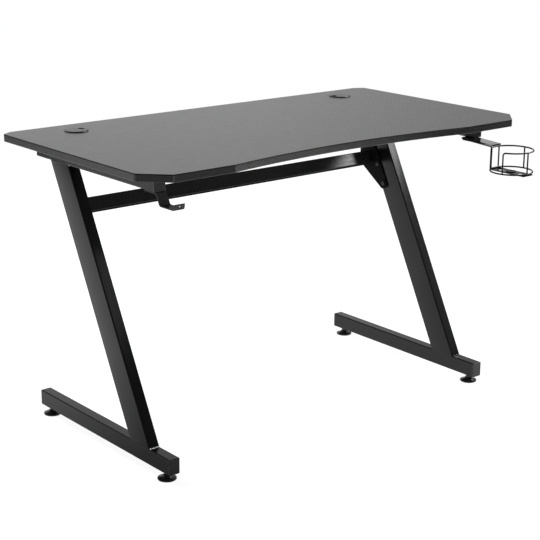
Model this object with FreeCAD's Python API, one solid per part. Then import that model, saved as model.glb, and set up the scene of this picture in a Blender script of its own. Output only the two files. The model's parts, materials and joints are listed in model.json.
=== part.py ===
import FreeCAD, Part
import math
import os

from FreeCAD import Vector

# Gaming desk with two Z-shaped legs, in millimetres. +X is the user's right, +Y the rear, +Z up.
# Every place is first worked out from the middle of the desktop, and the finished pieces are then
# moved along Y, so that the origin lies on the floor under the middle of the whole desk's box.

# desktop
desktop_width = 1200.0
desktop_depth = 640.0
desktop_top = 740.0  # working height above the floor
desktop_thickness = 18.0
desktop_arris = 1.2  # rounding of the upper and lower edges
desktop_corner = 10.0  # rounding of the upright corner edges
front_corner_cut = 60.0
rear_cut_width = 28.0  # of the small corner cuts, along the rear edge
rear_cut_depth = 16.0
waist_inset = 226.0  # from the side edges to the concave stretch of the front edge
waist_depth = 35.0

# steel tube of the rails and the bases
tube_width = 30.0
tube_height = 40.0
tube_wall = 1.5
tube_corner = 3.0

# legs
leg_inset = 73.0  # from the desktop's side edge to the outer face of the leg
rail_front_inset = 92.0  # from the desktop's front edge
rail_rear_inset = 46.0
base_front_inset = 52.0  # from the desktop's front edge
base_rear_inset = 18.0
rail_tail = 64.3  # rail behind the upright
base_toe = 79.05  # base in front of the upright
upright_depth = 72.0
upright_corner = 3.0

# end caps of the tubes
cap_head = 5.0
cap_plug = 8.0
cap_shell = 2.0
cap_rounding = 1.0

# levelling feet
foot_clearance = 20.0  # from the floor to the underside of the base
foot_front_inset = 30.0  # from the front end of the base to the foot's axis
foot_rear_inset = 30.0
pad_radius = 22.5
pad_rim = 3.5
pad_height = 11.5
pad_hub_radius = 8.5
pad_shoulder_radius = 11.0
pad_shoulder_height = 8.0
pad_dome_sag = 1.0
pad_floor = 3.0  # thickness under the stud
pad_edge = 0.8
stud_radius = 4.0
stud_length = 42.0
stud_tip = 0.8
collar_across_flats = 13.0
stud_hole_clearance = 0.6  # around the stud in the wall of the base
foot_nut_across_flats = 14.0
foot_nut_height = 7.0

# crossbeam and its gusset plates
beam_drop = 108.5  # from the rail to where the beam's middle meets the rear face of the upright
beam_tube_height = 36.0
beam_tube_depth = 25.0
beam_tube_wall = 1.5
beam_corner = 2.0
beam_setback = 5.0  # from the rear face of the upright to the front of the beam
gusset_thickness = 4.0
gusset_length = 202.0  # along the upright
gusset_tip = 24.0  # width of its two ends
gusset_waist = 36.0  # length of its rear edge
gusset_overlap = 26.0  # on the inner face of the upright
gusset_reach = 42.0  # behind the rear face of the upright
gusset_corner = 8.0
gusset_bolt_inset = 15.0  # from the rear face of the upright
gusset_bolt_pitch = 58.0
gusset_bolt_count = 4

# bolts of the gusset plates and of the desktop
bolt_radius = 3.0
bolt_head_radius = 6.0
bolt_head_height = 3.5
bolt_head_rounding = 1.5
bolt_key_across_flats = 4.0
bolt_key_depth = 2.0
gusset_bolt_length = 14.0
nut_across_flats = 10.0
nut_height = 5.0
insert_radius = 5.0
insert_length = 11.0
insert_engagement = 9.0
desktop_bolt_front_inset = 78.0  # from the front end of the rail
desktop_bolt_rear_inset = 32.0  # from the rear end of the rail

# screws of the hook and of the cup holder
screw_radius = 2.0
screw_head_radius = 4.0
screw_head_height = 2.5
screw_head_rounding = 1.0
screw_key_across_flats = 2.5
screw_key_depth = 1.5
screw_length = 9.0
screw_first = 15.5  # from the front end of the rail
screw_pitch = 10.0

# cable grommets
grommet_side_inset = 163.0
grommet_rear_inset = 87.0
grommet_flange_radius = 30.0
grommet_flange_height = 2.4
grommet_ledge = 1.2
grommet_rounding = 1.2
grommet_tube_radius = 26.0
grommet_tube_wall = 2.0
grommet_length = 22.0
cap_disc_radius = 27.0
cap_disc_proud = 0.4
cap_disc_rounding = 0.6
cap_skirt_wall = 1.6
cap_skirt_depth = 8.0
notch_width = 16.0
notch_depth = 14.0  # from the rim of the cap inwards
notch_directions = {"left": 20.0, "right": 180.0}  # degrees from +X

# headphone hook, a bent strap
hook_thickness = 2.5
hook_width = 29.0
hook_tongue_width = 28.0
hook_tab = 43.0  # on the underside of the rail
hook_drop = 26.2
hook_slope = 15.0  # forward run of the sloping stretch
hook_floor = 51.0
hook_lip_rise = 13.5
hook_lip_run = 5.5
hook_bend = 4.5
hook_corner = 4.0
hook_overhang = 3.0  # tab in front of the rail
hook_hole_radius = 3.0

# cup holder
arm_thickness = 4.0
arm_width = 36.0
arm_length = 108.0
arm_rail_lap = 31.0  # under the rail
arm_fall = 4.0  # from the rail to the arm's front end
arm_bend = 60.0
arm_corner = 4.0
arm_screw_inset = 9.0  # from the inner face of the rail
arm_side_lap = 21.0  # of the arm's width, under the rail
wire_radius = 2.0
wire_bend = 7.0
rod_spacing = 28.0
rod_tail = 4.0  # arm behind the rods
ring_radius = 54.5  # at the middle of the wire
basket_depth = 55.5
ring_ends = (111.0, 204.0)  # degrees from +X, the open stretch of the top ring
post_places = (5.0, 268.0)
strap_width = 36.0
strap_thickness = 3.0
strap_hole_radius = 11.0
strap_hole_share = 0.6  # of the ring's radius, from the middle
cup_pad_radius = 13.0
cup_pad_thickness = 2.0
weld_depth = 0.15  # how far welded wires sink into their neighbours

# clearances
slip = 0.05  # around shanks, studs and plugs
play = 0.3  # between pieces that move past each other
overrun = 5.0  # of cutting tools
level_share = 0.01  # of the arris, for finding edges at one height

# heights
rail_top = desktop_top - desktop_thickness
rail_bottom = rail_top - tube_height
base_bottom = foot_clearance
base_top = base_bottom + tube_height
beam_height = rail_bottom - beam_drop

# places along Y
desktop_rear = desktop_depth / 2
desktop_front = -desktop_depth / 2
rail_rear = desktop_rear - rail_rear_inset
rail_front = desktop_front + rail_front_inset
base_rear = desktop_rear - base_rear_inset
base_front = desktop_front + base_front_inset
upright_top_rear = rail_rear - rail_tail
upright_foot_front = base_front + base_toe
bolt_front = rail_front + desktop_bolt_front_inset
bolt_rear = rail_rear - desktop_bolt_rear_inset
desktop_bolt_places = (bolt_front, (bolt_front + bolt_rear) / 2, bolt_rear)

# places along X, on the right-hand side
leg_outer = desktop_width / 2 - leg_inset
leg_x = leg_outer - tube_width / 2
leg_inner = leg_outer - tube_width
gusset_inner = leg_inner - gusset_thickness

# lean of the uprights: the depth fits between the rear edge at the rail and the front edge at the base
upright_rise = rail_bottom - base_top
upright_span = upright_top_rear - upright_foot_front
upright_diagonal = math.hypot(upright_span, upright_rise)
lean = math.acos(upright_depth / upright_diagonal) - math.atan2(upright_rise, upright_span)
upright_run = Vector(0, upright_rise * math.tan(lean), upright_rise)
upright_cut = upright_depth / math.cos(lean)
upright_foot_y = upright_foot_front + upright_cut / 2
beam_y = upright_top_rear - (rail_bottom - beam_height) * math.tan(lean)

# cup holder's places
arm_rear = rail_front + arm_rail_lap
arm_front = arm_rear - arm_length
arm_x = leg_inner + arm_side_lap - arm_width / 2
ring_y = arm_front - ring_radius
ring_top_z = rail_bottom - arm_fall - arm_thickness - wire_radius + weld_depth
ring_bottom_z = ring_top_z - basket_depth
strap_top_z = ring_bottom_z - wire_radius + weld_depth
leg_foot_z = ring_bottom_z + wire_radius - weld_depth  # where posts and ring ends stand on the bottom ring
rod_circle = ring_radius + 2 * wire_radius - weld_depth  # the rods run down outside the rings

# the whole desk's box reaches from the front of the basket to the rear edge of the desktop
basket_front = ring_y - ring_radius - wire_radius
shift_to_origin = Vector(0, -(basket_front + desktop_rear) / 2, 0)

along_x = Vector(1, 0, 0)
along_y = Vector(0, 1, 0)
along_z = Vector(0, 0, 1)
quarter_turn = 90.0
sides = (("left", -1), ("right", 1))


def upright_edges(shape):
    return [edge for edge in shape.Edges if abs(edge.tangentAt(edge.FirstParameter).z) > 0.5]


def rounded_face(width, depth, corner):
    # rounded rectangle in the XY plane, centred on the origin
    block = Part.makeBox(width, depth, depth, Vector(-width / 2, -depth / 2, 0))
    rounded = block.makeFillet(corner, upright_edges(block))
    lowest = min(rounded.Faces, key=lambda face: face.CenterOfMass.z)
    return lowest


def tube_along(run, outer, inner):
    # hollow tube, an outer face less an inner face, both carried along one run
    return outer.extrude(run).cut(inner.extrude(run))


def turned_to_y(face):
    return face.rotated(Vector(), along_x, quarter_turn)


def turned_to_x(face):
    # the face's width lies along Y and its depth along Z
    return face.rotated(Vector(), along_z, quarter_turn).rotated(Vector(), along_y, quarter_turn)


def tube_bore():
    # hollow of the rail and base tube
    return rounded_face(tube_width - 2 * tube_wall, tube_height - 2 * tube_wall, tube_corner - tube_wall)


def drilled(shape, radius, start, direction, length):
    return shape.cut(Part.makeCylinder(radius, length, start, direction))


def revolved(points):
    # solid of revolution about Z from a closed outline of (radius, height) points
    corners = [Vector(radius, 0, height) for radius, height in points]
    outline = Part.makePolygon(corners + corners[:1])
    return Part.Face(outline).revolve(Vector(), along_z, 4 * quarter_turn)


def hexagon_bar(across_flats, height, start):
    radius = across_flats / math.sqrt(3)
    turns = [math.radians(60 * step) for step in range(7)]
    corners = [start + Vector(radius * math.cos(turn), radius * math.sin(turn), 0) for turn in turns]
    return Part.Face(Part.makePolygon(corners)).extrude(along_z * height)


def edges_at_height(shape, height):
    # edges that lie flat at one height
    level = desktop_arris * level_share
    return [edge for edge in shape.Edges
            if abs(edge.BoundBox.ZMin - height) < level and abs(edge.BoundBox.ZMax - height) < level]


def rounded_path(points, bends):
    # straight runs joined by tangent arcs, one bend radius for each inner corner
    edges = []
    start = points[0]
    for before, corner, after, bend in zip(points, points[1:], points[2:], bends):
        inward = (corner - before).normalize()
        outward = (after - corner).normalize()
        half_turn = inward.getAngle(outward) / 2
        reach = bend * math.tan(half_turn)
        bulge = bend * (1 / math.cos(half_turn) - 1)
        toward_centre = (outward - inward).normalize()
        arc_start = corner - inward * reach
        arc_end = corner + outward * reach
        edges.append(Part.makeLine(start, arc_start))
        edges.append(Part.Arc(arc_start, corner + toward_centre * bulge, arc_end).toShape())
        start = arc_end
    edges.append(Part.makeLine(start, points[-1]))
    return Part.Wire(edges)


def round_wire(path):
    # round bar of the basket's wire along a path
    first = path.OrderedEdges[0]
    section = Part.Wire(Part.makeCircle(wire_radius, first.valueAt(first.FirstParameter),
                                        first.tangentAt(first.FirstParameter)))
    return path.makePipeShell([section], True, False)


def flat_strip(path, centre_x, width, thickness):
    # flat bar, bent in the YZ plane, along a path that starts level
    start = path.OrderedVertexes[0].Point
    corners = [Vector(centre_x - width / 2, start.y, start.z - thickness / 2),
               Vector(centre_x + width / 2, start.y, start.z - thickness / 2),
               Vector(centre_x + width / 2, start.y, start.z + thickness / 2),
               Vector(centre_x - width / 2, start.y, start.z + thickness / 2)]
    return path.makePipeShell([Part.makePolygon(corners + corners[:1])], True, False)


def socket_bolt(radius, length, head_radius, head_height, rounding, key_flats, key_depth):
    # shank up from z = 0, button head below it with a hexagonal socket
    head = Part.makeCylinder(head_radius, head_height, Vector(0, 0, -head_height))
    head = head.makeFillet(rounding, edges_at_height(head, -head_height))
    head = head.cut(hexagon_bar(key_flats, key_depth, Vector(0, 0, -head_height)))
    return head.fuse(Part.makeCylinder(radius, length)).removeSplitter()


def hexagon_nut(across_flats, height, bore):
    return drilled(hexagon_bar(across_flats, height, Vector()), bore, Vector(0, 0, -overrun), along_z,
                   height + 2 * overrun)


def leaning(shape):
    # from a frame with the upright's rear face at y = 0 and the beam's middle at z = 0 to the leaning frame
    placed = shape.rotated(Vector(), along_x, -math.degrees(lean))
    placed.translate(Vector(0, beam_y, beam_height))
    return placed


def gusset_bolt_heights():
    first = -gusset_bolt_pitch * (gusset_bolt_count - 1) / 2
    return [first + gusset_bolt_pitch * step for step in range(gusset_bolt_count)]


def pointing(shape, side):
    # turn a piece from +Z to the outside of the desk
    return shape.rotated(Vector(), along_y, side * quarter_turn)


def gusset_bolt_holes(side):
    # cutters through the plate and the inner wall of the upright
    holes = []
    start = Vector(side * (gusset_inner - overrun), -gusset_bolt_inset, 0)
    length = gusset_thickness + tube_wall + 2 * overrun
    for height in gusset_bolt_heights():
        hole = Part.makeCylinder(bolt_radius + slip, length, start + along_z * height, along_x * side)
        holes.append(leaning(hole))
    return Part.makeCompound(holes)


def at_gusset_bolts(piece, inner_x):
    # copies of one fastener at all the gusset bolts of both legs
    copies = []
    for _, side in sides:
        for height in gusset_bolt_heights():
            copy = pointing(piece, side)
            copy.translate(Vector(side * inner_x, -gusset_bolt_inset, height))
            copies.append(leaning(copy))
    return Part.makeCompound(copies)


def grommet_centre(side):
    x = desktop_width / 2 - grommet_side_inset
    return Vector(side * x, desktop_rear - grommet_rear_inset, desktop_top)


def desktop_bolt_centres():
    # on the underside of the desktop
    return [Vector(side * leg_x, place, rail_top) for _, side in sides for place in desktop_bolt_places]


def desktop():
    half_width = desktop_width / 2
    waist_end = half_width - waist_inset
    right_side = [(waist_end, desktop_front), (half_width - front_corner_cut, desktop_front),
                  (half_width, desktop_front + front_corner_cut),
                  (half_width, desktop_rear - rear_cut_depth),
                  (half_width - rear_cut_width, desktop_rear)]
    left_side = [(-x, y) for x, y in reversed(right_side)]
    corners = [Vector(x, y, rail_top) for x, y in right_side + left_side]
    waist = Part.Arc(corners[-1], Vector(0, desktop_front + waist_depth, rail_top), corners[0]).toShape()
    straights = [Part.makeLine(start, end) for start, end in zip(corners, corners[1:])]
    board = Part.Face(Part.Wire(straights + [waist])).extrude(along_z * desktop_thickness)
    corner_edges = [edge for edge in upright_edges(board) if abs(edge.CenterOfMass.x) > waist_end + overrun]
    board = board.makeFillet(desktop_corner, corner_edges)
    rims = edges_at_height(board, rail_top) + edges_at_height(board, desktop_top)
    board = board.makeFillet(desktop_arris, rims)
    for _, side in sides:
        centre = grommet_centre(side)
        board = drilled(board, grommet_tube_radius + slip, centre + along_z * overrun, -along_z,
                        desktop_thickness + 2 * overrun)
    for centre in desktop_bolt_centres():
        board = drilled(board, insert_radius + slip, centre - along_z * overrun, along_z,
                        insert_length + overrun)
    return board


def screw_places():
    # along Y, of the screws near the front end of a rail
    return [rail_front + screw_first + screw_pitch * step for step in range(2)]


def accessory_x(side):
    # hook screws on the left rail's middle, cup holder screws on the part of the arm under the right rail
    return side * leg_x if side < 0 else leg_inner + arm_screw_inset


def level_tube(side, front, rear, bottom):
    # rail or base, without its end caps
    tube = tube_along(along_y * (rear - front - 2 * cap_head),
                      turned_to_y(rounded_face(tube_width, tube_height, tube_corner)),
                      turned_to_y(tube_bore()))
    tube.translate(Vector(side * leg_x, front + cap_head, bottom + tube_height / 2))
    return tube


def rail(side):
    tube = level_tube(side, rail_front, rail_rear, rail_bottom)
    for place in desktop_bolt_places:
        tube = drilled(tube, bolt_radius + slip, Vector(side * leg_x, place, rail_bottom - overrun), along_z,
                       tube_height + 2 * overrun)
    for place in screw_places():
        tube = drilled(tube, screw_radius + slip, Vector(accessory_x(side), place, rail_bottom - overrun),
                       along_z, tube_wall + 2 * overrun)
    return tube


def upright(side):
    outer = rounded_face(tube_width, upright_cut, upright_corner)
    inner = rounded_face(tube_width - 2 * tube_wall, upright_cut - 2 * tube_wall / math.cos(lean),
                         upright_corner - tube_wall)
    post = tube_along(upright_run, outer, inner)
    post.translate(Vector(side * leg_x, upright_foot_y, base_top))
    return post.cut(gusset_bolt_holes(side))


def foot_places():
    return {"front": base_front + foot_front_inset, "rear": base_rear - foot_rear_inset}


def base(side):
    tube = level_tube(side, base_front, base_rear, base_bottom)
    for place in foot_places().values():
        tube = drilled(tube, stud_radius + stud_hole_clearance,
                       Vector(side * leg_x, place, base_bottom - overrun), along_z, tube_wall + 2 * overrun)
    return tube


def end_cap(side, end_y, outward, bottom):
    # plastic cap with a hollow plug; outward is -1 at a front end and 1 at a rear end
    head = rounded_face(tube_width, tube_height, tube_corner).extrude(along_z * cap_head)
    head = head.makeFillet(cap_rounding, edges_at_height(head, cap_head))
    plug_width = tube_width - 2 * tube_wall - 2 * slip
    plug_height = tube_height - 2 * tube_wall - 2 * slip
    plug_corner = tube_corner - tube_wall
    plug = rounded_face(plug_width, plug_height, plug_corner).extrude(-along_z * cap_plug)
    pocket = rounded_face(plug_width - 2 * cap_shell, plug_height - 2 * cap_shell, plug_corner)
    plug = plug.cut(pocket.extrude(-along_z * (cap_plug + overrun)))
    cap = head.fuse(plug).removeSplitter().rotated(Vector(), along_x, -outward * quarter_turn)
    cap.translate(Vector(side * leg_x, end_y - outward * cap_head, bottom + tube_height / 2))
    return cap


def foot_pad():
    # round pad with a domed top, a hub and a blind socket for the stud
    rim = Vector(pad_radius, 0, pad_rim)
    shoulder = Vector(pad_shoulder_radius, 0, pad_shoulder_height)
    middle = (rim + shoulder) / 2 + (shoulder - rim).cross(along_y).normalize() * pad_dome_sag
    corners = [shoulder, Vector(pad_hub_radius, 0, pad_height), Vector(0, 0, pad_height), Vector(),
               Vector(pad_radius, 0, 0), rim]
    straights = [Part.makeLine(start, end) for start, end in zip(corners, corners[1:])]
    outline = Part.Wire([Part.Arc(rim, middle, shoulder).toShape()] + straights)
    pad = Part.Face(outline).revolve(Vector(), along_z, 4 * quarter_turn)
    pad = pad.makeChamfer(pad_edge, [edge for edge in edges_at_height(pad, 0) if edge.Closed])
    return drilled(pad, stud_radius + slip, Vector(0, 0, pad_floor), along_z, pad_height)


def foot_stud():
    # stud with a hexagonal collar that turns between the pad's hub and the base
    stud_bottom = pad_floor + slip
    stud = Part.makeCylinder(stud_radius, stud_length, Vector(0, 0, stud_bottom))
    stud = stud.makeChamfer(stud_tip, edges_at_height(stud, stud_bottom + stud_length))
    collar_height = base_bottom - pad_height - 2 * play
    return stud.fuse(hexagon_bar(collar_across_flats, collar_height, Vector(0, 0, pad_height + play)))


def foot_nut():
    nut = hexagon_nut(foot_nut_across_flats, foot_nut_height, stud_radius + slip)
    nut.translate(along_z * (base_bottom + tube_wall))
    return nut


def crossbeam():
    run = along_x * (2 * gusset_inner)
    inner = rounded_face(beam_tube_depth - 2 * beam_tube_wall, beam_tube_height - 2 * beam_tube_wall,
                         beam_corner - beam_tube_wall)
    tube = tube_along(run, turned_to_x(rounded_face(beam_tube_depth, beam_tube_height, beam_corner)),
                      turned_to_x(inner))
    tube.translate(Vector(-gusset_inner, beam_setback + beam_tube_depth / 2, 0))
    return leaning(tube)


def gusset(side):
    # six-sided plate: its front edge lies on the upright, its rear edge behind the crossbeam
    half_length = gusset_length / 2
    half_waist = gusset_waist / 2
    tip_rear = gusset_tip - gusset_overlap
    upper_half = [(-gusset_overlap, half_length), (tip_rear, half_length), (gusset_reach, half_waist)]
    lower_half = [(y, -z) for y, z in reversed(upper_half)]
    start_x = gusset_inner if side > 0 else -leg_inner
    corners = [Vector(start_x, y, z) for y, z in upper_half + lower_half]
    plate = Part.Face(Part.makePolygon(corners + corners[:1])).extrude(along_x * gusset_thickness)
    across = [edge for edge in plate.Edges if abs(edge.tangentAt(edge.FirstParameter).x) > 0.5]
    plate = leaning(plate.makeFillet(gusset_corner, across))
    return plate.cut(gusset_bolt_holes(side))


def gusset_bolts():
    bolt = socket_bolt(bolt_radius, gusset_bolt_length, bolt_head_radius, bolt_head_height,
                       bolt_head_rounding, bolt_key_across_flats, bolt_key_depth)
    return at_gusset_bolts(bolt, gusset_inner)


def gusset_nuts():
    nut = hexagon_nut(nut_across_flats, nut_height, bolt_radius + slip)
    return at_gusset_bolts(nut, leg_inner + tube_wall)


def copies_at(piece, places):
    copies = []
    for place in places:
        copy = piece.copy()
        copy.translate(place)
        copies.append(copy)
    return Part.makeCompound(copies)


def desktop_bolts():
    bolt = socket_bolt(bolt_radius, tube_height + insert_engagement, bolt_head_radius, bolt_head_height,
                       bolt_head_rounding, bolt_key_across_flats, bolt_key_depth)
    return copies_at(bolt, [centre - along_z * tube_height for centre in desktop_bolt_centres()])


def desktop_inserts():
    sleeve = drilled(Part.makeCylinder(insert_radius, insert_length), bolt_radius + slip,
                     Vector(0, 0, -overrun), along_z, insert_length + 2 * overrun)
    return copies_at(sleeve, desktop_bolt_centres())


def accessory_screws(side, plate_thickness):
    screw = socket_bolt(screw_radius, screw_length, screw_head_radius, screw_head_height,
                        screw_head_rounding, screw_key_across_flats, screw_key_depth)
    under = rail_bottom - plate_thickness
    return copies_at(screw, [Vector(accessory_x(side), place, under) for place in screw_places()])


def grommet_sleeve(side):
    bore = grommet_tube_radius - grommet_tube_wall
    recess = cap_disc_radius + play
    sleeve = revolved([(bore, -grommet_length), (grommet_tube_radius, -grommet_length),
                       (grommet_tube_radius, 0), (grommet_flange_radius, 0),
                       (grommet_flange_radius, grommet_flange_height),
                       (recess, grommet_flange_height), (recess, grommet_ledge), (bore, grommet_ledge)])
    rim = max(edges_at_height(sleeve, grommet_flange_height), key=lambda edge: edge.Length)
    sleeve = sleeve.makeFillet(grommet_rounding, [rim])
    sleeve.translate(grommet_centre(side))
    return sleeve


def grommet_cap(name, side):
    # disc on the sleeve's ledge, with a skirt that turns in the sleeve and a notch for cables
    top = grommet_flange_height + cap_disc_proud
    bottom = grommet_ledge + slip
    skirt = grommet_tube_radius - grommet_tube_wall - slip
    cap = revolved([(0, top), (0, bottom), (skirt - cap_skirt_wall, bottom),
                    (skirt - cap_skirt_wall, -cap_skirt_depth), (skirt, -cap_skirt_depth),
                    (skirt, bottom), (cap_disc_radius, bottom), (cap_disc_radius, top)])
    cap = cap.makeFillet(cap_disc_rounding, edges_at_height(cap, top))
    notch = Part.makeBox(notch_depth + overrun, notch_width, top + cap_skirt_depth + 2 * overrun,
                         Vector(cap_disc_radius - notch_depth, -notch_width / 2, -cap_skirt_depth - overrun))
    cap = cap.cut(notch).rotated(Vector(), along_z, notch_directions[name])
    cap.translate(grommet_centre(side))
    return cap


def headphone_hook():
    # strap bent down from its tab, forward as a floor and up as a lip
    strap_z = rail_bottom - hook_thickness / 2
    floor_z = strap_z - hook_drop
    tab_front = rail_front - hook_overhang
    slope_front = tab_front - hook_slope
    floor_front = slope_front - hook_floor
    lip_foot = Vector(-leg_x, floor_front, floor_z)
    lip_top = Vector(-leg_x, floor_front - hook_lip_run, floor_z + hook_lip_rise)
    path = rounded_path([Vector(-leg_x, tab_front + hook_tab, strap_z), Vector(-leg_x, tab_front, strap_z),
                         Vector(-leg_x, slope_front, floor_z), lip_foot, lip_top],
                        [hook_bend, hook_bend, hook_bend])
    strap = flat_strip(path, -leg_x, hook_width, hook_thickness)
    half_width = hook_width / 2
    half_tongue = hook_tongue_width / 2
    tip = lip_top.y - hook_thickness
    right_side = [(half_width, tab_front + hook_tab + overrun), (half_width, tab_front),
                  (half_tongue, slope_front), (half_tongue, tip + hook_corner),
                  (half_tongue - hook_corner, tip)]
    left_side = [(-x, y) for x, y in reversed(right_side)]
    low = floor_z - hook_thickness
    corners = [Vector(x - leg_x, y, low) for x, y in right_side + left_side]
    outline = Part.Face(Part.makePolygon(corners + corners[:1]))
    strap = strap.common(outline.extrude(along_z * (rail_bottom - low + overrun)))
    for place in screw_places():
        strap = drilled(strap, screw_radius + slip, Vector(-leg_x, place, strap_z - overrun), along_z,
                        2 * overrun)
    lip = lip_top - lip_foot
    square_to_lip = lip.cross(along_x).normalize()
    return drilled(strap, hook_hole_radius, lip_foot + lip / 2 - square_to_lip * overrun, square_to_lip,
                   2 * overrun)


def cup_arm():
    # plate under the rail that falls a little towards its front end
    plate_z = rail_bottom - arm_thickness / 2
    path = rounded_path([Vector(arm_x, arm_rear, plate_z), Vector(arm_x, rail_front, plate_z),
                         Vector(arm_x, arm_front, plate_z - arm_fall)], [arm_bend])
    plate = flat_strip(path, arm_x, arm_width, arm_thickness)
    for place in screw_places():
        plate = drilled(plate, screw_radius + slip, Vector(accessory_x(1), place, plate_z - overrun), along_z,
                        2 * overrun)
    rear_edges = [edge for edge in upright_edges(plate) if edge.CenterOfMass.y > rail_front]
    return plate.makeFillet(arm_corner, rear_edges)


def cup_rods():
    # two rods under the arm that turn down to the bottom ring
    half_spacing = rod_spacing / 2
    under = arm_thickness + wire_radius - weld_depth
    corner_y = ring_y + math.sqrt(rod_circle ** 2 - half_spacing ** 2)
    rods = []
    for side in (-1, 1):
        x = arm_x + side * half_spacing
        path = rounded_path([Vector(x, arm_rear - rod_tail, rail_bottom - under),
                             Vector(x, rail_front, rail_bottom - under), Vector(x, corner_y, ring_top_z),
                             Vector(x, corner_y, strap_top_z)], [arm_bend, wire_bend])
        rods.append(round_wire(path))
    return Part.makeCompound(rods)


def on_ring(degrees, height):
    turn = math.radians(degrees)
    return Vector(arm_x + ring_radius * math.cos(turn), ring_y + ring_radius * math.sin(turn), height)


def ring_tangent(degrees):
    turn = math.radians(degrees)
    return Vector(-math.sin(turn), math.cos(turn), 0)


def turned_down(end, away):
    # arc and straight leg that take the top ring's wire from its end down to the bottom ring
    half = math.radians(quarter_turn / 2)
    middle = end + away * (wire_bend * math.sin(half)) - along_z * (wire_bend * (1 - math.cos(half)))
    knee = end + away * wire_bend - along_z * wire_bend
    foot = Vector(knee.x, knee.y, leg_foot_z)
    return Part.Arc(end, middle, knee).toShape(), Part.makeLine(knee, foot)


def cup_top_ring():
    # open ring; both of its ends turn down, which leaves room for a mug's handle
    open_from, open_to = ring_ends
    first = on_ring(open_to, ring_top_z)
    last = on_ring(open_from, ring_top_z)
    opposite = on_ring((open_from + open_to) / 2 + 2 * quarter_turn, ring_top_z)
    first_arc, first_leg = turned_down(first, -ring_tangent(open_to))
    last_arc, last_leg = turned_down(last, ring_tangent(open_from))
    ring = Part.Arc(first, opposite, last).toShape()
    return round_wire(Part.Wire(Part.sortEdges([first_leg, first_arc, ring, last_arc, last_leg])[0]))


def cup_bottom_ring():
    return Part.makeTorus(ring_radius, wire_radius, Vector(arm_x, ring_y, ring_bottom_z))


def cup_posts():
    height = ring_top_z - wire_radius + weld_depth - leg_foot_z
    posts = [Part.makeCylinder(wire_radius, height, on_ring(place, leg_foot_z)) for place in post_places]
    return Part.makeCompound(posts)


def cup_strap():
    # strip across the bottom ring, with a round hole on each side of the pad
    reach = ring_radius + wire_radius
    strip = Part.makeBox(strap_width, 2 * reach, strap_thickness,
                         Vector(arm_x - strap_width / 2, ring_y - reach, strap_top_z - strap_thickness))
    for side in (-1, 1):
        centre = Vector(arm_x, ring_y + side * strap_hole_share * ring_radius, strap_top_z - overrun)
        strip = drilled(strip, strap_hole_radius, centre, along_z, 2 * overrun)
    return strip


def cup_pad():
    return Part.makeCylinder(cup_pad_radius, cup_pad_thickness, Vector(arm_x, ring_y, strap_top_z))


def all_pieces():
    pieces = {"desktop": desktop(), "crossbeam": crossbeam()}
    for name, side in sides:
        pieces["rail_" + name] = rail(side)
        pieces["upright_" + name] = upright(side)
        pieces["base_" + name] = base(side)
        pieces["gusset_" + name] = gusset(side)
        pieces["rail_cap_" + name + "_front"] = end_cap(side, rail_front, -1, rail_bottom)
        pieces["rail_cap_" + name + "_rear"] = end_cap(side, rail_rear, 1, rail_bottom)
        pieces["base_cap_" + name + "_front"] = end_cap(side, base_front, -1, base_bottom)
        pieces["base_cap_" + name + "_rear"] = end_cap(side, base_rear, 1, base_bottom)
        pieces["grommet_sleeve_" + name] = grommet_sleeve(side)
        pieces["grommet_cap_" + name] = grommet_cap(name, side)
        for end, place in foot_places().items():
            corner = [Vector(side * leg_x, place, 0)]
            pieces["foot_pad_" + name + "_" + end] = copies_at(foot_pad(), corner)
            pieces["foot_stud_" + name + "_" + end] = copies_at(foot_stud(), corner)
            pieces["foot_nut_" + name + "_" + end] = copies_at(foot_nut(), corner)
    pieces["gusset_bolts"] = gusset_bolts()
    pieces["gusset_nuts"] = gusset_nuts()
    pieces["desktop_bolts"] = desktop_bolts()
    pieces["desktop_inserts"] = desktop_inserts()
    pieces["headphone_hook"] = headphone_hook()
    pieces["hook_screws"] = accessory_screws(-1, hook_thickness)
    pieces["cup_arm"] = cup_arm()
    pieces["cup_rods"] = cup_rods()
    pieces["cup_top_ring"] = cup_top_ring()
    pieces["cup_bottom_ring"] = cup_bottom_ring()
    pieces["cup_posts"] = cup_posts()
    pieces["cup_strap"] = cup_strap()
    pieces["cup_pad"] = cup_pad()
    pieces["cup_screws"] = accessory_screws(1, arm_thickness)
    return pieces


os.makedirs("parts", exist_ok=True)
for piece_name, piece in all_pieces().items():
    piece.translate(shift_to_origin)
    piece.exportStep(os.path.join("parts", piece_name + ".step"))
    print(piece_name, len(piece.Solids), piece.isValid(), round(piece.Volume))
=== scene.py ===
import json
import math

import bpy
import numpy as np
from mathutils import Matrix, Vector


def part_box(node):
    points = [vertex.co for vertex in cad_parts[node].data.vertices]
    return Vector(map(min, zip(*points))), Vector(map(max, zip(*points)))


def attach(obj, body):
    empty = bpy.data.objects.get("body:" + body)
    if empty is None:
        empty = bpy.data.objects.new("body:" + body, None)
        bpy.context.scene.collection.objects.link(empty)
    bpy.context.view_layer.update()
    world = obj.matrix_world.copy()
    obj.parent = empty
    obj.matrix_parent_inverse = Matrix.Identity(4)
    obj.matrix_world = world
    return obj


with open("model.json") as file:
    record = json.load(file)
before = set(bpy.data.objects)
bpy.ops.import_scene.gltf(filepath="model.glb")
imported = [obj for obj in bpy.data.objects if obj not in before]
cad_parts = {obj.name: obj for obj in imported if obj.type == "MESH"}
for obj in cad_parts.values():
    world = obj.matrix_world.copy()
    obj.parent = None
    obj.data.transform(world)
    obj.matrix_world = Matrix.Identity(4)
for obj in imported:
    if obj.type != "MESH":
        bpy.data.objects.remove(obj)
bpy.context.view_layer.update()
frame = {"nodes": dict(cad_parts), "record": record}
nodes = frame["nodes"]
scene = bpy.context.scene
print("frame loaded:", len(nodes), "nodes")


# camera

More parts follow.
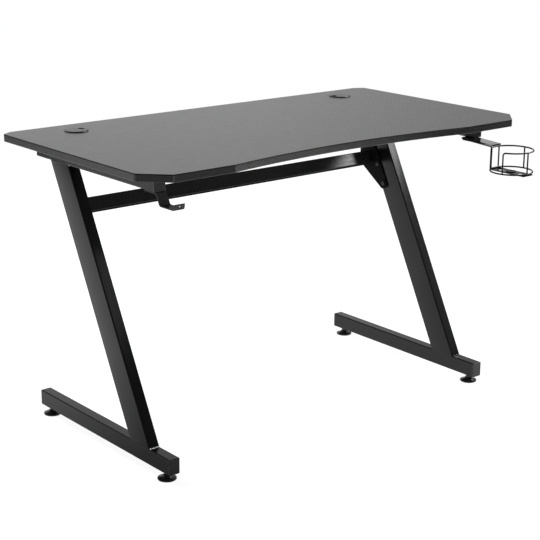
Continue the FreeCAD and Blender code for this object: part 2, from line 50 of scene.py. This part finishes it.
cameraSettings = {
    "place": (-2.21564, -2.61496, 1.37516),
    "yaw": 0.692099,
    "pitch": 0.285740,
    "roll": 0.007038,
    "focalPixels": 1385.413,
    "imageWidth": 540,
    "sensor": 36.0,
}


def placeByAxes(thing, right, up, back, place):
    turn = np.eye(4)
    turn[:3, 0], turn[:3, 1], turn[:3, 2], turn[:3, 3] = right, up, back, place
    thing.matrix_world = Matrix(turn.tolist())


def addCamera(settings):
    # line of sight from yaw and pitch; right and up are square to it and then rolled about it
    yaw, pitch, roll = settings["yaw"], settings["pitch"], settings["roll"]
    sight = np.array([math.sin(yaw) * math.cos(pitch), math.cos(yaw) * math.cos(pitch),
                      -math.sin(pitch)])
    level = np.array([math.cos(yaw), -math.sin(yaw), 0.0])
    above = np.cross(level, sight)
    right = math.cos(roll) * level + math.sin(roll) * above
    up = math.cos(roll) * above - math.sin(roll) * level
    data = bpy.data.cameras.new("deskCamera")
    data.sensor_width = settings["sensor"]
    data.lens = settings["focalPixels"] * settings["sensor"] / settings["imageWidth"]
    camera = bpy.data.objects.new("deskCamera", data)
    placeByAxes(camera, right, up, -sight, settings["place"])
    scene.collection.objects.link(camera)
    scene.camera = camera


addCamera(cameraSettings)
print("camera set")


# node helpers

noiseSpan = (0.3, 0.7)  # where most of a noise node's values lie
blueTint = 1.02  # greys are a little cool


def put(tree, kind, inputs=None, **settings):
    # one node with its properties set and its sockets filled with numbers or links
    node = tree.nodes.new(kind)
    for key, value in settings.items():
        setattr(node, key, value)
    for key, value in (inputs or {}).items():
        if isinstance(value, bpy.types.NodeSocket):
            tree.links.new(value, node.inputs[key])
        else:
            node.inputs[key].default_value = value
    return node


def calc(tree, operation, *values):
    return put(tree, "ShaderNodeMath", dict(enumerate(values)), operation=operation).outputs[0]


def times(tree, first, second):
    return calc(tree, "MULTIPLY", first, second)


def rest(tree, share):
    return calc(tree, "SUBTRACT", 1.0, share)


def choose(tree, share, first, second):
    return calc(tree, "ADD", times(tree, share, first), times(tree, rest(tree, share), second))


def within(tree, value, low, high):
    return times(tree, calc(tree, "GREATER_THAN", value, low), calc(tree, "LESS_THAN", value, high))


def blendColours(tree, share, first, second):
    node = put(tree, "ShaderNodeMix", {0: share, 6: first, 7: second}, data_type="RGBA")
    return node.outputs[2]


def ramp(tree, value, low, high, fromLow=0.0, fromHigh=1.0):
    inputs = {"Value": value, "From Min": fromLow, "From Max": fromHigh, "To Min": low, "To Max": high}
    return put(tree, "ShaderNodeMapRange", inputs).outputs[0]


def noise(tree, place, scale, detail=2.0):
    inputs = {"Vector": place, "Scale": scale, "Detail": detail}
    return put(tree, "ShaderNodeTexNoise", inputs).outputs["Fac"]


def axes(tree, vector):
    return put(tree, "ShaderNodeSeparateXYZ", {0: vector}).outputs


def trueNormal(tree):
    return axes(tree, put(tree, "ShaderNodeNewGeometry").outputs["True Normal"])


def startMaterial(name):
    material = bpy.data.materials.new(name)
    material.use_nodes = True
    tree = material.node_tree
    place = put(tree, "ShaderNodeTexCoord").outputs["Object"]
    return material, tree, tree.nodes["Principled BSDF"], place


def grey(level):
    return (level, level, level * blueTint, 1.0)


def addBump(tree, shader, height, strength, distance):
    bump = put(tree, "ShaderNodeBump", {"Height": height, "Strength": strength, "Distance": distance})
    tree.links.new(bump.outputs[0], shader.inputs["Normal"])


# materials

laminate = {
    "tow": 0.002,
    "edgeTow": 0.00172,
    "flatFacing": 0.6,  # the normal's z from which a face is the top or the underside
    "frontFacing": -0.9,
    "warp": 0.086,
    "weft": 0.045,
    "edgeWarp": 0.044,
    "edgeWeft": 0.032,
    "waistFrom": -0.374,
    # tones of the painted sheen on the front edge, then its painted shade towards the right end
    "waistSheenWarp": 0.210,
    "waistSheenWeft": 0.004,
    "rightShade": 0.80,
    "shadeSpan": (-0.15, 0.35),
    "gapTone": 0.004,
    "gapShare": 0.5,
    "cloudScale": 9.0,
    "cloudDetail": 3.0,
    "cloudSpan": (0.35, 0.65),
    "cloudShare": 0.05,
    "cloudTone": 0.03,
    "underside": 0.016,
    "mitreFacing": (0.32, 0.46),
    "mitreFront": -0.5,
    "cornerGlintTone": 0.130,
    "paintedShadeBand": (0.0024, 0.0010),
    "arrisFacing": (0.03, 0.97),
    "paintedShadeTone": 0.010,
    "gloss": (0.70, 1.0),
    "edgeGloss": 0.75,
    "paintedShadeGloss": 0.25,
    "roughness": (0.325, 0.345),
    "roughScale": 35.0,
    "arrisRoughness": 0.7,
    "bumpStrength": 0.25,
    "bumpDepth": 0.00006,
}


def twillLaminate(settings):
    # 2/2 twill: with i and j the tow counts along both ways, warp lies on top where (i - j) mod 4
    # is under 2; a tow's height is 2 (a (1 - a) + b (1 - b)), with a across it and b along its float
    material, tree, shader, place = startMaterial("twillLaminate")
    x, y, z = axes(tree, place)
    nx, ny, nz = trueNormal(tree)
    flat = calc(tree, "GREATER_THAN", calc(tree, "ABSOLUTE", nz), settings["flatFacing"])
    below = calc(tree, "LESS_THAN", nz, -settings["flatFacing"])
    front = calc(tree, "LESS_THAN", ny, settings["frontFacing"])
    along = calc(tree, "SUBTRACT", times(tree, y, nx), times(tree, x, ny))
    u = choose(tree, flat, x, along)
    v = choose(tree, flat, y, times(tree, z, -1.0))
    tow = ramp(tree, flat, settings["edgeTow"], settings["tow"])
    p = calc(tree, "DIVIDE", u, tow)
    q = calc(tree, "DIVIDE", v, tow)
    i = calc(tree, "FLOOR", p)
    j = calc(tree, "FLOOR", q)
    fu = calc(tree, "SUBTRACT", p, i)
    fv = calc(tree, "SUBTRACT", q, j)
    step = calc(tree, "FLOORED_MODULO", calc(tree, "SUBTRACT", i, j), 4.0)
    warp = calc(tree, "LESS_THAN", step, 1.5)
    across = choose(tree, warp, fu, fv)
    run = choose(tree, warp, fv, fu)
    onFloat = times(tree, calc(tree, "ADD", calc(tree, "FLOORED_MODULO", step, 2.0), run), 0.5)
    dome = times(tree, across, rest(tree, across))
    arch = times(tree, onFloat, rest(tree, onFloat))
    height = times(tree, calc(tree, "ADD", dome, arch), 2.0)
    # painted sheen: from waistFrom to the right end of the front edge the warp tows are much lighter and
    # the weft darker, standing in for the floor that this edge mirrors; painted shade darkens the front
    # edge towards its right end
    sheenZone = times(tree, calc(tree, "GREATER_THAN", x, settings["waistFrom"]), front)
    shade = times(tree, front, ramp(tree, x, 0.0, settings["rightShade"], *settings["shadeSpan"]))
    warpTone = blendColours(tree, sheenZone, grey(settings["edgeWarp"]), grey(settings["waistSheenWarp"]))
    weftTone = blendColours(tree, sheenZone, grey(settings["edgeWeft"]), grey(settings["waistSheenWeft"]))
    warpTone = blendColours(tree, flat, warpTone, grey(settings["warp"]))
    weftTone = blendColours(tree, flat, weftTone, grey(settings["weft"]))
    tone = blendColours(tree, warp, weftTone, warpTone)
    tone = blendColours(tree, shade, tone, grey(settings["gapTone"]))
    gaps = times(tree, rest(tree, height), settings["gapShare"])
    tone = blendColours(tree, gaps, tone, grey(settings["gapTone"]))
    cloudy = noise(tree, place, settings["cloudScale"], settings["cloudDetail"])
    cloudy = ramp(tree, cloudy, 0.0, settings["cloudShare"], *settings["cloudSpan"])
    tone = blendColours(tree, cloudy, tone, grey(settings["cloudTone"]))
    tone = blendColours(tree, below, tone, grey(settings["underside"]))
    # painted highlight: a lighter band on the rounding of the front corners, standing in for the light
    # these roundings mirror
    cornerGlint = within(tree, calc(tree, "ABSOLUTE", nx), *settings["mitreFacing"])
    cornerGlint = times(tree, cornerGlint, calc(tree, "LESS_THAN", ny, settings["mitreFront"]))
    tone = blendColours(tree, cornerGlint, tone, grey(settings["cornerGlintTone"]))
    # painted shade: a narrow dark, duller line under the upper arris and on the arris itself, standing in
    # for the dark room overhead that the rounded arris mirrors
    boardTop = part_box("desktop")[1].z
    far, near = (boardTop - depth for depth in settings["paintedShadeBand"])
    seam = times(tree, within(tree, z, far, near), rest(tree, flat))
    arris = within(tree, nz, *settings["arrisFacing"])
    seam = calc(tree, "MAXIMUM", seam, arris)
    tone = blendColours(tree, seam, tone, grey(settings["paintedShadeTone"]))
    tree.links.new(tone, shader.inputs["Base Color"])
    gloss = ramp(tree, warp, *settings["gloss"])
    gloss = times(tree, gloss, ramp(tree, flat, settings["edgeGloss"], 1.0))
    gloss = times(tree, gloss, ramp(tree, seam, 1.0, settings["paintedShadeGloss"]))
    tree.links.new(gloss, shader.inputs["Specular IOR Level"])
    rough = ramp(tree, noise(tree, place, settings["roughScale"]), *settings["roughness"], *noiseSpan)
    rough = calc(tree, "MAXIMUM", rough, times(tree, arris, settings["arrisRoughness"]))
    tree.links.new(rough, shader.inputs["Roughness"])
    upper = times(tree, height, rest(tree, below))
    addBump(tree, shader, upper, settings["bumpStrength"], settings["bumpDepth"])
    return material


uprightCut = 0.08085  # length of an upright's level cut
uprightLow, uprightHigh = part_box("upright_left")
lean = math.atan2(uprightHigh.y - uprightLow.y - uprightCut, uprightHigh.z - uprightLow.z)
coating = {
    "tone": (0.005, 0.008),
    "toneScale": 14.0,
    "roughness": (0.14, 0.22),
    "underRoughness": 0.7,  # undersides are left matt
    "underFacing": (-0.8, -0.3),
    "gloss": 0.28,
    "lacquer": 0.0,
    "lacquerIor": 1.5,
    "lineLength": 0.16,
    "lineWidth": 0.0011,
    "grainSize": 0.0011,
    "detail": 3.0,
    "bumpStrength": 0.35,
    "bumpDepth": 0.00003,
}
dullCoating = dict(coating, tone=(0.006, 0.008), roughness=(0.50, 0.60), gloss=0.06)
# painted light: the beam, the headphone hook and the cup arm take lighter tones than the frame's coat,
# standing in for light that falls on them; the arm also has a lacquer coat
litBeamCoating = dict(coating, tone=(0.010, 0.014), roughness=(0.15, 0.25), gloss=0.42)
litHookCoating = dict(coating, tone=(0.030, 0.040), roughness=(0.10, 0.16))
litArmCoating = dict(coating, tone=(0.012, 0.018), roughness=(0.05, 0.09), gloss=0.8, lacquer=1.0,
                  lacquerIor=1.8, bumpStrength=0.1)


alongX, alongY, alongZ = range(3)


def powderCoat(name, settings, long, tilt, bulge=None):
    # satin powder coat: fine orange peel over faint drawn lines, which run along axis number long
    # once the place is turned by tilt about X
    material, tree, shader, place = startMaterial(name)
    shader.inputs["Coat Weight"].default_value = settings["lacquer"]
    shader.inputs["Coat IOR"].default_value = settings["lacquerIor"]
    sizes = [settings["lineWidth"]] * 3
    sizes[long] = settings["lineLength"]
    mapping = {"Vector": place, "Rotation": (-tilt, 0.0, 0.0), "Scale": sizes}
    turned = put(tree, "ShaderNodeMapping", mapping, vector_type="TEXTURE").outputs[0]
    lines = noise(tree, turned, 1.0, settings["detail"])
    low, high = settings["tone"]
    slow = ramp(tree, noise(tree, place, settings["toneScale"], settings["detail"]), 0.0, 1.0, *noiseSpan)
    tree.links.new(blendColours(tree, slow, grey(low), grey(high)), shader.inputs["Base Color"])
    matt = settings["underRoughness"]
    below = ramp(tree, trueNormal(tree)[2], matt, 0.0, *settings["underFacing"])
    rough = calc(tree, "MAXIMUM", ramp(tree, lines, *settings["roughness"], *noiseSpan), below)
    tree.links.new(rough, shader.inputs["Roughness"])
    gloss = times(tree, calc(tree, "SUBTRACT", matt, below), settings["gloss"] / matt)
    tree.links.new(gloss, shader.inputs["Specular IOR Level"])
    peel = noise(tree, place, 1.0 / settings["grainSize"], settings["detail"])
    depth = settings["bumpStrength"] * settings["bumpDepth"]
    fine = times(tree, calc(tree, "ADD", peel, lines), depth)
    if bulge:
        fine = calc(tree, "SUBTRACT", fine, bulge(tree, place))
    addBump(tree, shader, fine, 1.0, 1.0)
    return material


crown = {
    "legMiddle": 0.512,  # distance of both uprights' middle planes from x = 0
    "side": 1.0,  # fall of a face over the square of the distance from its middle line, per metre
    "front": 1.2,
}


def uprightBulge(tree, place):
    # the rolled faces are slightly crowned: they fall with the square of the distance from their
    # middle line
    x, y, z = axes(tree, place)
    across = calc(tree, "SUBTRACT", times(tree, y, math.cos(lean)), times(tree, z, math.sin(lean)))
    middleY, middleZ = (uprightLow.y + uprightHigh.y) / 2, (uprightLow.z + uprightHigh.z) / 2
    middle = middleY * math.cos(lean) - middleZ * math.sin(lean)
    across = calc(tree, "SUBTRACT", across, middle)
    level = calc(tree, "SUBTRACT", calc(tree, "ABSOLUTE", x), crown["legMiddle"])
    return calc(tree, "ADD", times(tree, times(tree, across, across), crown["side"]),
                times(tree, times(tree, level, level), crown["front"]))


capMoulding = {
    "tone": (0.011, 0.016),
    "toneScale": 40.0,
    "roughness": (0.28, 0.36),
    "gloss": 0.40,
    "grainSize": 0.0006,
    "bumpStrength": 0.4,
    "bumpDepth": 0.00003,
}
# painted light: the left front rail cap takes a lighter tone than the other caps of the same plastic
litRailCapMoulding = dict(capMoulding, tone=(0.040, 0.050))
grommetMoulding = dict(capMoulding, tone=(0.020, 0.026), roughness=(0.30, 0.34), gloss=0.5)


def mouldedPlastic(name, settings):
    # spark-eroded grain of a moulded cap: rounded cells under slow changes of tone and roughness
    material, tree, shader, place = startMaterial(name)
    shader.inputs["Specular IOR Level"].default_value = settings["gloss"]
    cells = put(tree, "ShaderNodeTexVoronoi", {"Vector": place, "Scale": 1.0 / settings["grainSize"]})
    slow = noise(tree, place, settings["toneScale"])
    low, high = settings["tone"]
    tone = blendColours(tree, ramp(tree, slow, 0.0, 1.0, *noiseSpan), grey(low), grey(high))
    tree.links.new(tone, shader.inputs["Base Color"])
    rough = ramp(tree, slow, *settings["roughness"], *noiseSpan)
    tree.links.new(rough, shader.inputs["Roughness"])
    addBump(tree, shader, cells.outputs["Distance"], settings["bumpStrength"], settings["bumpDepth"])
    return material


fastenerCoat = {
    "tone": (0.010, 0.022),
    "roughness": (0.28, 0.40),
    "metallic": 0.0,
    "scale": 420.0,
    "detail": 4.0,
    "bumpStrength": 0.2,
    "bumpDepth": 0.00003,
}
rubberPad = dict(fastenerCoat, tone=(0.008, 0.014), roughness=(0.6, 0.75), scale=900.0, detail=3.0,
                 bumpStrength=0.3, bumpDepth=0.00005)
zincCoat = dict(fastenerCoat, tone=(0.42, 0.62), roughness=(0.25, 0.42), metallic=1.0, scale=300.0,
                bumpStrength=0.0)
# painted highlight: the left beads are bright metal; the right beads are the same weld in dull dark metal
highlightBeadMetal = dict(zincCoat, tone=(0.80, 0.98), roughness=(0.16, 0.30), scale=900.0)
dullBeadMetal = dict(highlightBeadMetal, tone=(0.06, 0.12))


def speckledCoat(name, settings):
    # one fine noise mixes two tones and sets the roughness with them
    material, tree, shader, place = startMaterial(name)
    shader.inputs["Metallic"].default_value = settings["metallic"]
    fine = noise(tree, place, settings["scale"], settings["detail"])
    low, high = settings["tone"]
    tree.links.new(blendColours(tree, fine, grey(low), grey(high)), shader.inputs["Base Color"])
    rough = ramp(tree, fine, *settings["roughness"], *noiseSpan)
    tree.links.new(rough, shader.inputs["Roughness"])
    if settings["bumpStrength"]:
        addBump(tree, shader, fine, settings["bumpStrength"], settings["bumpDepth"])
    return material


finishes = {
    "laminate_board": twillLaminate(laminate),
    "powder_coated_steel": powderCoat("powderCoat", coating, alongY, 0.0),
    "black_plastic": mouldedPlastic("capPlastic", capMoulding),
    "black_fasteners": speckledCoat("blackenedSteel", fastenerCoat),
    "zinc_steel": speckledCoat("zincPlate", zincCoat),
    "pad_rubber": speckledCoat("softRubber", rubberPad),
}
# finishes of single nodes, or of all nodes that share a first word
special = {
    "upright": powderCoat("uprightCoat", coating, alongZ, lean, uprightBulge),
    "crossbeam": powderCoat("litBeamCoat", litBeamCoating, alongX, lean),
    "rail_cap_left_front": mouldedPlastic("litRailCapPlastic", litRailCapMoulding),
    "gusset_left": powderCoat("gussetCoat", dullCoating, alongZ, lean),
    "grommet": mouldedPlastic("grommetPlastic", grommetMoulding),
    "headphone_hook": powderCoat("litHookCoat", litHookCoating, alongY, 0.0),
    "cup_arm": powderCoat("litArmCoat", litArmCoating, alongY, 0.0),
}
special["gusset_right"] = special["gusset_left"]
# the left beads carry the painted highlight, the right ones the dull metal
beadCoats = {
    "left": speckledCoat("highlightBeadMetal", highlightBeadMetal),
    "right": speckledCoat("dullBeadMetal", dullBeadMetal),
}
for part in frame["record"]["subparts"]:
    piece = nodes[part["node"]]
    piece.data.materials.clear()
    chosen = special.get(part["node"], special.get(part["node"].split("_")[0]))
    piece.data.materials.append(chosen or finishes[part["material_slot"]])
print("materials on", len(nodes), "nodes")


# weld beads

def gridPiece(name, points, body, material):
    # points is a (rows, columns, 3) array; the columns close on themselves, and the first and last
    # rows are poles
    rows, columns = points.shape[:2]
    row, column = np.meshgrid(np.arange(rows - 1), np.arange(columns), indexing="ij")
    after = (column + 1) % columns
    corners = np.stack([row * columns + column, row * columns + after,
                        (row + 1) * columns + after, (row + 1) * columns + column], axis=-1)
    corners = corners.reshape(-1, 4)
    mesh = bpy.data.meshes.new(name)
    mesh.from_pydata(points.reshape(-1, 3), [], corners)
    mesh.polygons.foreach_set("use_smooth", np.ones(len(corners), dtype=bool))
    mesh.materials.append(material)
    mesh.validate()
    piece = bpy.data.objects.new(name, mesh)
    scene.collection.objects.link(piece)
    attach(piece, body)


def ringAngles(columns):
    return np.linspace(0.0, 2 * np.pi, columns, endpoint=False)[None, :]


bead = {
    "radius": 0.0023,
    "inset": 0.0015,
    "ripple": 0.16,
    "pitch": 0.0030,
    "slant": 0.8,  # phase by which a ripple lags on one side of the bead and leads on the other
    "wander": 0.10,
    "wanderPitch": 0.013,
    "wanderPhase": 1.3,
    "endPower": 6,
    "rows": 90,
    "columns": 14,
}


def beadAlong(name, start, end, settings):
    # round bar from start to end; its radius swells once per pitch, wanders slowly and closes at
    # both ends as a superellipse
    start, end = np.array(start), np.array(end)
    length = np.linalg.norm(end - start)
    t = np.linspace(0.0, 1.0, settings["rows"])[:, None]
    turn = ringAngles(settings["columns"])
    along = (end - start) / length
    side = np.cross(along, (0.0, 0.0, 1.0))
    side = side / np.linalg.norm(side)
    over = np.cross(side, along)
    closing = np.sqrt(np.clip(1.0 - np.abs(2.0 * t - 1.0) ** settings["endPower"], 0.0, 1.0))
    waves = 2 * np.pi * t * length
    slant = settings["slant"] * np.cos(turn)
    swell = 1.0 + settings["ripple"] * np.sin(waves / settings["pitch"] - slant)
    wander = settings["wander"] * np.sin(waves / settings["wanderPitch"] + settings["wanderPhase"])
    radius = settings["radius"] * closing * (swell + wander)
    centre = start + t * (end - start)
    outward = np.cos(turn)[..., None] * side + np.sin(turn)[..., None] * over
    points = centre[:, None, :] + radius[..., None] * outward
    gridPiece(name, points, "frame", beadCoats[name.split("_")[1]])


def weldUprights(settings):
    for side in ("left", "right"):
        low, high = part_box("upright_" + side)
        left, right = low.x + settings["inset"], high.x - settings["inset"]
        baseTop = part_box("base_" + side)[1].z
        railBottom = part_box("rail_" + side)[0].z
        places = {"foot_front": (low.y, baseTop), "foot_rear": (low.y + uprightCut, baseTop),
                  "top_front": (high.y - uprightCut, railBottom), "top_rear": (high.y, railBottom)}
        for place, (y, z) in places.items():
            beadAlong("weld_%s_%s" % (side, place), (left, y, z), (right, y, z), settings)


weldUprights(bead)
print("weld beads made")


# ground seams

seam = {
    "height": 0.0040,
    "width": 0.0040,
    "proud": 0.00006,
    "overlap": 0.0006,  # how far a seam reaches up or down onto the upright
    "corner": 0.003,
    "squareness": 10.0,
    "endPower": 24,
    "rows": 40,
    "columns": 24,
}


def seamAlong(name, x, outward, z, front, rear, settings):
    # bar along Y with a superellipse section: x and z are half a width times cos and sin to the
    # power 2 / squareness
    power = 2.0 / settings["squareness"]
    turn = ringAngles(settings["columns"])
    t = np.linspace(-1.0, 1.0, settings["rows"])[:, None]
    closing = np.clip(1.0 - np.abs(t) ** settings["endPower"], 0.0, 1.0) ** 0.5
    half = settings["width"] / 2
    centre = x + outward * (settings["proud"] - half)
    across = np.sign(np.cos(turn)) * np.abs(np.cos(turn)) ** power
    upward = np.sign(np.sin(turn)) * np.abs(np.sin(turn)) ** power
    lengthways = (front + rear) / 2 + (rear - front) / 2 * t
    points = np.stack([centre + half * across * closing,
                       np.broadcast_to(lengthways, (settings["rows"], settings["columns"])),
                       z + settings["height"] / 2 * upward * closing], axis=-1)
    gridPiece(name, points, "frame", finishes["powder_coated_steel"])


def groundSeams(settings):
    # the tubes' rounded corners are filled and ground flush where an upright's sides meet them
    corner = settings["corner"]
    drop = settings["height"] / 2 - settings["overlap"]
    for side in ("left", "right"):
        low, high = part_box("upright_" + side)
        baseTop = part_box("base_" + side)[1].z
        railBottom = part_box("rail_" + side)[0].z
        for edge, x, outward in (("west", low.x, -1.0), ("east", high.x, 1.0)):
            seamAlong("seam_%s_foot_%s" % (side, edge), x, outward, baseTop - drop,
                      low.y + corner, low.y + uprightCut - corner, settings)
            seamAlong("seam_%s_top_%s" % (side, edge), x, outward, railBottom + drop,
                      high.y - uprightCut + corner, high.y - corner, settings)


groundSeams(seam)
print("seams ground")


# stage and light

studio = {
    "floorFrom": (-4.0, -1.35),
    "floorTo": (4.0, 3.2),
    "floorTone": 0.80,
    "floorCameraTone": 0.30,
    "floorGlow": (0.89, 0.95),
    "glowReach": (0.7, 1.6),
    "mirrorGlow": (0.20, 0.95),
    "mirrorReach": (0.15, 0.90),
    "shadowCentre": (-0.6, -0.2, 0.0),
    "backAxis": (-0.35, 0.937, 0.0),
    "frontLevel": 0.05,
    "frontSpan": (0.10, 0.50),
    "farLevel": 0.9,
    "farSpan": (0.48, 0.62),
    "belowHorizon": 0.05,
    "horizonSpan": (-0.03, 0.02),
    "topLevel": 0.05,
    "topSpan": (0.31, 0.56),
    "ambient": 0.08,
    "steepLamp": 0.95,  # a lamp that points more steeply down takes Y in place of Z as its upright
}
softboxes = {
    "overhead": {"place": (-0.35, 1.45, 2.4), "target": (-0.35, 1.45, 0.0), "size": (2.2, 1.8),
                 "power": 60.0, "mirrored": False, "spread": True},
    "frontRight": {"place": (1.95, -0.44, 2.05), "target": (0.50, 0.20, 0.60), "size": (1.6, 1.3),
                   "power": 75.0, "mirrored": True, "spread": False},
    "front": {"place": (0.3, -2.6, 0.95), "target": (0.0, 0.0, 0.5), "size": (2.0, 1.0),
              "power": 28.0, "mirrored": False, "spread": True},
    "sideRight": {"place": (1.15, -0.55, 0.6), "target": (1.0, -0.4, 0.0), "size": (0.8, 0.8),
                  "power": 7.0, "mirrored": False, "spread": True},
    "fillRight": {"place": (1.90, -1.23, 1.14), "target": (0.51, 0.0, 0.37), "size": (0.6, 0.9),
                  "power": 0.73, "mirrored": True, "spread": False},
    "fill": {"place": (0.54, -1.46, 1.40), "target": (-0.51, -0.03, 0.37), "size": (0.5, 0.35),
             "power": 0.56, "mirrored": True, "spread": True},
    "rearLeft": {"place": (-1.9, 2.1, 2.0), "target": (-1.9, 2.1, 0.0), "size": (1.6, 1.6),
                 "power": 26.0, "mirrored": False, "spread": True},
}


def addFloor(settings):
    left, front = settings["floorFrom"]
    right, rear = settings["floorTo"]
    corners = [(left, front, 0), (right, front, 0), (right, rear, 0), (left, rear, 0)]
    mesh = bpy.data.meshes.new("floor")
    mesh.from_pydata(corners, [], [(0, 1, 2, 3)])
    floor = bpy.data.objects.new("floor", mesh)
    scene.collection.objects.link(floor)
    material, tree, shader, place = startMaterial("paleFloor")
    tree.nodes.remove(shader)
    path = put(tree, "ShaderNodeLightPath").outputs
    mirrored = calc(tree, "MAXIMUM", path["Is Glossy Ray"], path["Is Transmission Ray"])
    seen = calc(tree, "MAXIMUM", path["Is Camera Ray"], mirrored)
    plain = put(tree, "ShaderNodeBsdfDiffuse", {"Color": grey(settings["floorTone"])})
    shaded = put(tree, "ShaderNodeBsdfDiffuse", {"Color": grey(settings["floorCameraTone"])})
    # less glow near the desk lets its shadow show to the camera; in what the coats mirror the glow dips
    # much further near the desk, most of all by the left base, a painted shadow
    away = put(tree, "ShaderNodeVectorMath", {0: place}, operation="LENGTH").outputs["Value"]
    direct = ramp(tree, away, *settings["floorGlow"], *settings["glowReach"])
    beside = put(tree, "ShaderNodeVectorMath", {0: place, 1: settings["shadowCentre"]},
                 operation="DISTANCE").outputs["Value"]
    paintedShadowGlow = ramp(tree, beside, *settings["mirrorGlow"], *settings["mirrorReach"])
    strength = ramp(tree, mirrored, direct, paintedShadowGlow)
    glow = put(tree, "ShaderNodeEmission", {"Color": (1, 1, 1, 1), "Strength": strength})
    bright = put(tree, "ShaderNodeAddShader", {0: shaded.outputs[0], 1: glow.outputs[0]})
    both = put(tree, "ShaderNodeMixShader", {0: seen, 1: plain.outputs[0], 2: bright.outputs[0]})
    tree.links.new(both.outputs[0], tree.nodes["Material Output"].inputs["Surface"])
    mesh.materials.append(material)


def addWorld(settings):
    # white for the camera; mirrored light is white behind the desk and falls off towards the front,
    # below the horizon and overhead
    world = bpy.data.worlds.new("studio")
    scene.world = world
    world.use_nodes = True
    tree = world.node_tree
    direction = put(tree, "ShaderNodeTexCoord").outputs["Generated"]
    back = put(tree, "ShaderNodeVectorMath", {0: direction, 1: settings["backAxis"]},
               operation="DOT_PRODUCT").outputs["Value"]
    height = axes(tree, direction)[2]
    falloff = ramp(tree, back, settings["frontLevel"], 1.0, *settings["frontSpan"])
    falloff = times(tree, falloff, ramp(tree, back, 1.0, settings["farLevel"], *settings["farSpan"]))
    lower = ramp(tree, height, settings["belowHorizon"], 1.0, *settings["horizonSpan"])
    upper = ramp(tree, height, 1.0, settings["topLevel"], *settings["topSpan"])
    falloff = times(tree, times(tree, falloff, lower), upper)
    path = put(tree, "ShaderNodeLightPath").outputs
    mirrored = calc(tree, "MAXIMUM", path["Is Glossy Ray"], path["Is Transmission Ray"])
    level = choose(tree, mirrored, falloff, settings["ambient"])
    level = calc(tree, "MAXIMUM", level, path["Is Camera Ray"])
    tree.links.new(level, tree.nodes["Background"].inputs["Strength"])
    tree.nodes["Background"].inputs["Color"].default_value = (1, 1, 1, 1)


def addSoftbox(name, settings):
    light = bpy.data.lights.new(name, "AREA")
    light.shape = "RECTANGLE"
    light.size, light.size_y = settings["size"]
    light.energy = settings["power"]
    lamp = bpy.data.objects.new(name, light)
    place, target = np.array(settings["place"]), np.array(settings["target"])
    back = (place - target) / np.linalg.norm(place - target)
    upright = (0.0, 1.0, 0.0) if abs(back[2]) > studio["steepLamp"] else (0.0, 0.0, 1.0)
    side = np.cross(upright, back)
    side = side / np.linalg.norm(side)
    placeByAxes(lamp, side, np.cross(back, side), back, place)
    lamp.visible_glossy = settings["mirrored"]
    lamp.visible_diffuse = settings["spread"]
    scene.collection.objects.link(lamp)


addFloor(studio)
addWorld(studio)
for boxName, boxSettings in softboxes.items():
    addSoftbox(boxName, boxSettings)
scene.view_settings.view_transform = "Standard"
print("stage lit")
